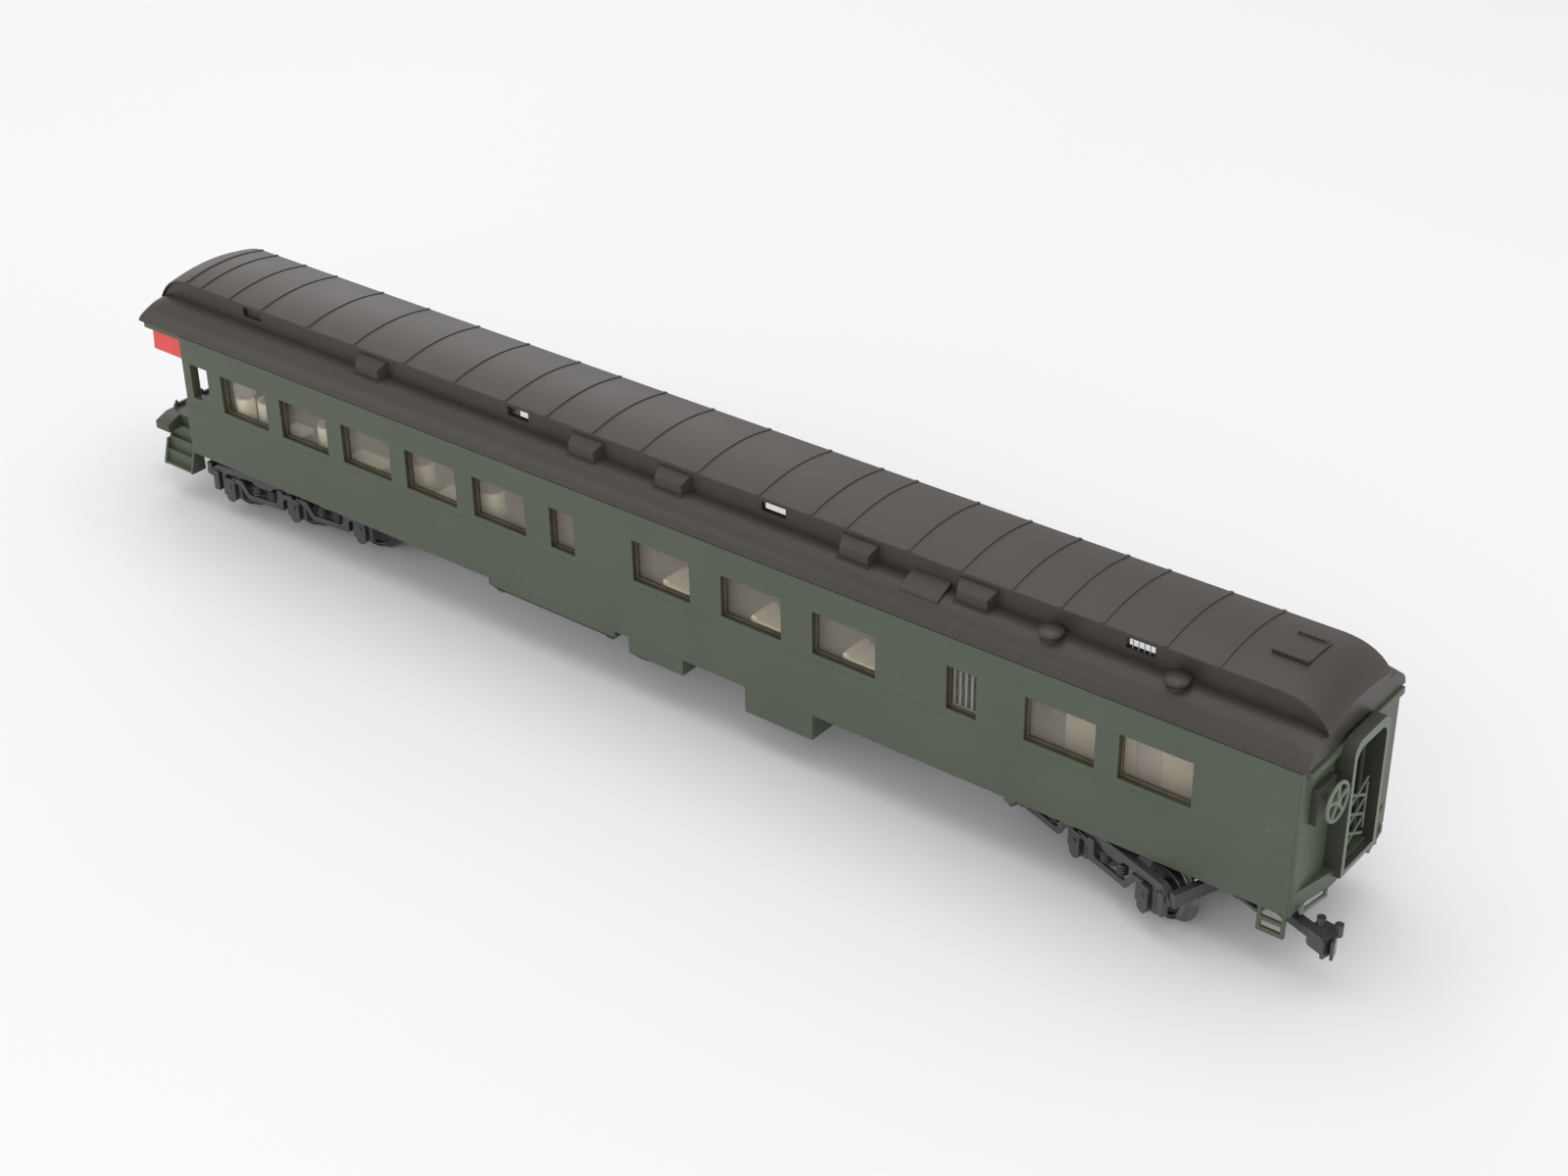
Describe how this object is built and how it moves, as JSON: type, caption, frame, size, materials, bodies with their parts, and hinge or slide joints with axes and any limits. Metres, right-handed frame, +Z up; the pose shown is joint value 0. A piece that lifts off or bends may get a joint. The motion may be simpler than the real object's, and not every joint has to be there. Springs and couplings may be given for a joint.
{
  "type": "model passenger coach",
  "caption": "Scale model passenger coach with an open observation platform, raised clerestory roof, six-wheel trucks that swivel, and truck-mounted couplers.",
  "frame": {"origin": "centre of the bounding box on the rail plane z = 0, where the wheel flanges' lowest points are", "axes": "+X along the coach towards the vestibule end, +Y to the coach's left side, +Z up"},
  "size_m": [0.3134, 0.044, 0.0553],
  "materials": {
    "body_paint": "satin moulded olive green",
    "gangway_grey": "matt grey-green",
    "gate_metal": "matt dark grey",
    "brake_wheel_metal": "matt pale grey-green",
    "platform_metal": "painted olive, worn",
    "awning_red": "painted red",
    "roof_grey": "matt warm grey",
    "clear_pane": "clear moulding",
    "grille_dark": "matt dark",
    "interior_light": "light grey moulding",
    "interior_cream": "cream moulding",
    "underframe_black": "matt black moulding",
    "weight_steel": "bare steel",
    "screw_brass": "plated screw",
    "truck_plastic": "matt dark grey acetal",
    "coupler_plastic": "matt dark grey acetal",
    "axle_steel": "turned steel",
    "wheel_metal": "blackened metal"
  },
  "bodies": {
    "car_body": {"ballast_weight": "weight_steel", "battery_boxes": "body_paint", "body_side_left": "body_paint", "body_side_right": "body_paint", "brake_housing": "body_paint", "brake_wheel": "brake_wheel_metal", "corner_stirrups": "body_paint", "diaphragm": "gangway_grey", "end_sill_steps": "body_paint", "equipment_boxes": "body_paint", "folding_gate": "gate_metal", "glazing_left": "clear_pane", "glazing_right": "clear_pane", "interior_floor": "interior_light", "kingpin_screws": "screw_brass", "lounge_chairs": "interior_cream", "lounge_sofas": "interior_cream", "lounge_tables": "interior_cream", "partitions": "interior_light", "platform_awnings": "awning_red", "platform_bulkhead": "body_paint", "platform_deck": "platform_metal", "platform_eave_strips": "body_paint", "platform_glazing": "clear_pane", "platform_steps_left": "body_paint", "platform_steps_right": "body_paint", "railing_stubs": "platform_metal", "roof": "roof_grey", "roof_box_vents": "roof_grey", "roof_end_hatch": "roof_grey", "roof_round_vents": "roof_grey", "roof_side_hatch": "roof_grey", "section_seats": "interior_cream", "side_skirts": "body_paint", "sill_brackets": "body_paint", "underframe": "underframe_black", "vestibule_end": "body_paint", "weight_screws": "screw_brass", "window_grilles": "grille_dark"},
    "truck_a": {"truck_a_frame": "truck_plastic", "truck_a_springs": "truck_plastic", "truck_a_coupler_cover": "truck_plastic"},
    "truck_a_wheelset_1": {"truck_a_axle_1": "axle_steel", "truck_a_wheels_1": "wheel_metal"},
    "truck_a_wheelset_2": {"truck_a_axle_2": "axle_steel", "truck_a_wheels_2": "wheel_metal"},
    "truck_a_wheelset_3": {"truck_a_axle_3": "axle_steel", "truck_a_wheels_3": "wheel_metal"},
    "truck_a_coupler_arm": {"truck_a_coupler": "coupler_plastic"},
    "truck_b": {"truck_b_frame": "truck_plastic", "truck_b_springs": "truck_plastic", "truck_b_coupler_cover": "truck_plastic"},
    "truck_b_wheelset_1": {"truck_b_axle_1": "axle_steel", "truck_b_wheels_1": "wheel_metal"},
    "truck_b_wheelset_2": {"truck_b_axle_2": "axle_steel", "truck_b_wheels_2": "wheel_metal"},
    "truck_b_wheelset_3": {"truck_b_axle_3": "axle_steel", "truck_b_wheels_3": "wheel_metal"},
    "truck_b_coupler_arm": {"truck_b_coupler": "coupler_plastic"}
  },
  "joints": [
    {"name": "truck_a_swivel", "type": "hinge", "parent": "car_body", "child": "truck_a", "pos_m": [0.10813, 0, 0.0125], "axis": [0, 0, 1], "range_deg": [0, 38.4]},
    {"name": "truck_a_wheelset_1_roll", "type": "hinge", "parent": "truck_a", "child": "truck_a_wheelset_1", "pos_m": [0.09, 0.00631, 0.00635], "axis": [0.3289, 0.9444, 0], "continuous": true},
    {"name": "truck_a_wheelset_2_roll", "type": "hinge", "parent": "truck_a", "child": "truck_a_wheelset_2", "pos_m": [0.10813, 0, 0.00635], "axis": [0.3289, 0.9444, 0], "continuous": true},
    {"name": "truck_a_wheelset_3_roll", "type": "hinge", "parent": "truck_a", "child": "truck_a_wheelset_3", "pos_m": [0.12626, -0.00631, 0.00635], "axis": [0.3289, 0.9444, 0], "continuous": true},
    {"name": "truck_a_coupler_swing", "type": "hinge", "parent": "truck_a", "child": "truck_a_coupler_arm", "pos_m": [0.13929, -0.01085, 0.011], "axis": [0, 0, 1], "range_deg": [-5, 5]},
    {"name": "truck_b_swivel", "type": "hinge", "parent": "car_body", "child": "truck_b", "pos_m": [-0.10537, 0, 0.0125], "axis": [0, 0, 1], "range_deg": [-20, 7]},
    {"name": "truck_b_wheelset_1_roll", "type": "hinge", "parent": "truck_b", "child": "truck_b_wheelset_1", "pos_m": [-0.08629, 0.00217, 0.00635], "axis": [0.1132, -0.9936, 0], "continuous": true},
    {"name": "truck_b_wheelset_2_roll", "type": "hinge", "parent": "truck_b", "child": "truck_b_wheelset_2", "pos_m": [-0.10537, 0, 0.00635], "axis": [0.1132, -0.9936, 0], "continuous": true},
    {"name": "truck_b_wheelset_3_roll", "type": "hinge", "parent": "truck_b", "child": "truck_b_wheelset_3", "pos_m": [-0.12445, -0.00217, 0.00635], "axis": [0.1132, -0.9936, 0], "continuous": true},
    {"name": "truck_b_coupler_swing", "type": "hinge", "parent": "truck_b", "child": "truck_b_coupler_arm", "pos_m": [-0.13816, -0.00374, 0.011], "axis": [0, 0, 1], "range_deg": [-5, 5]}
  ]
}
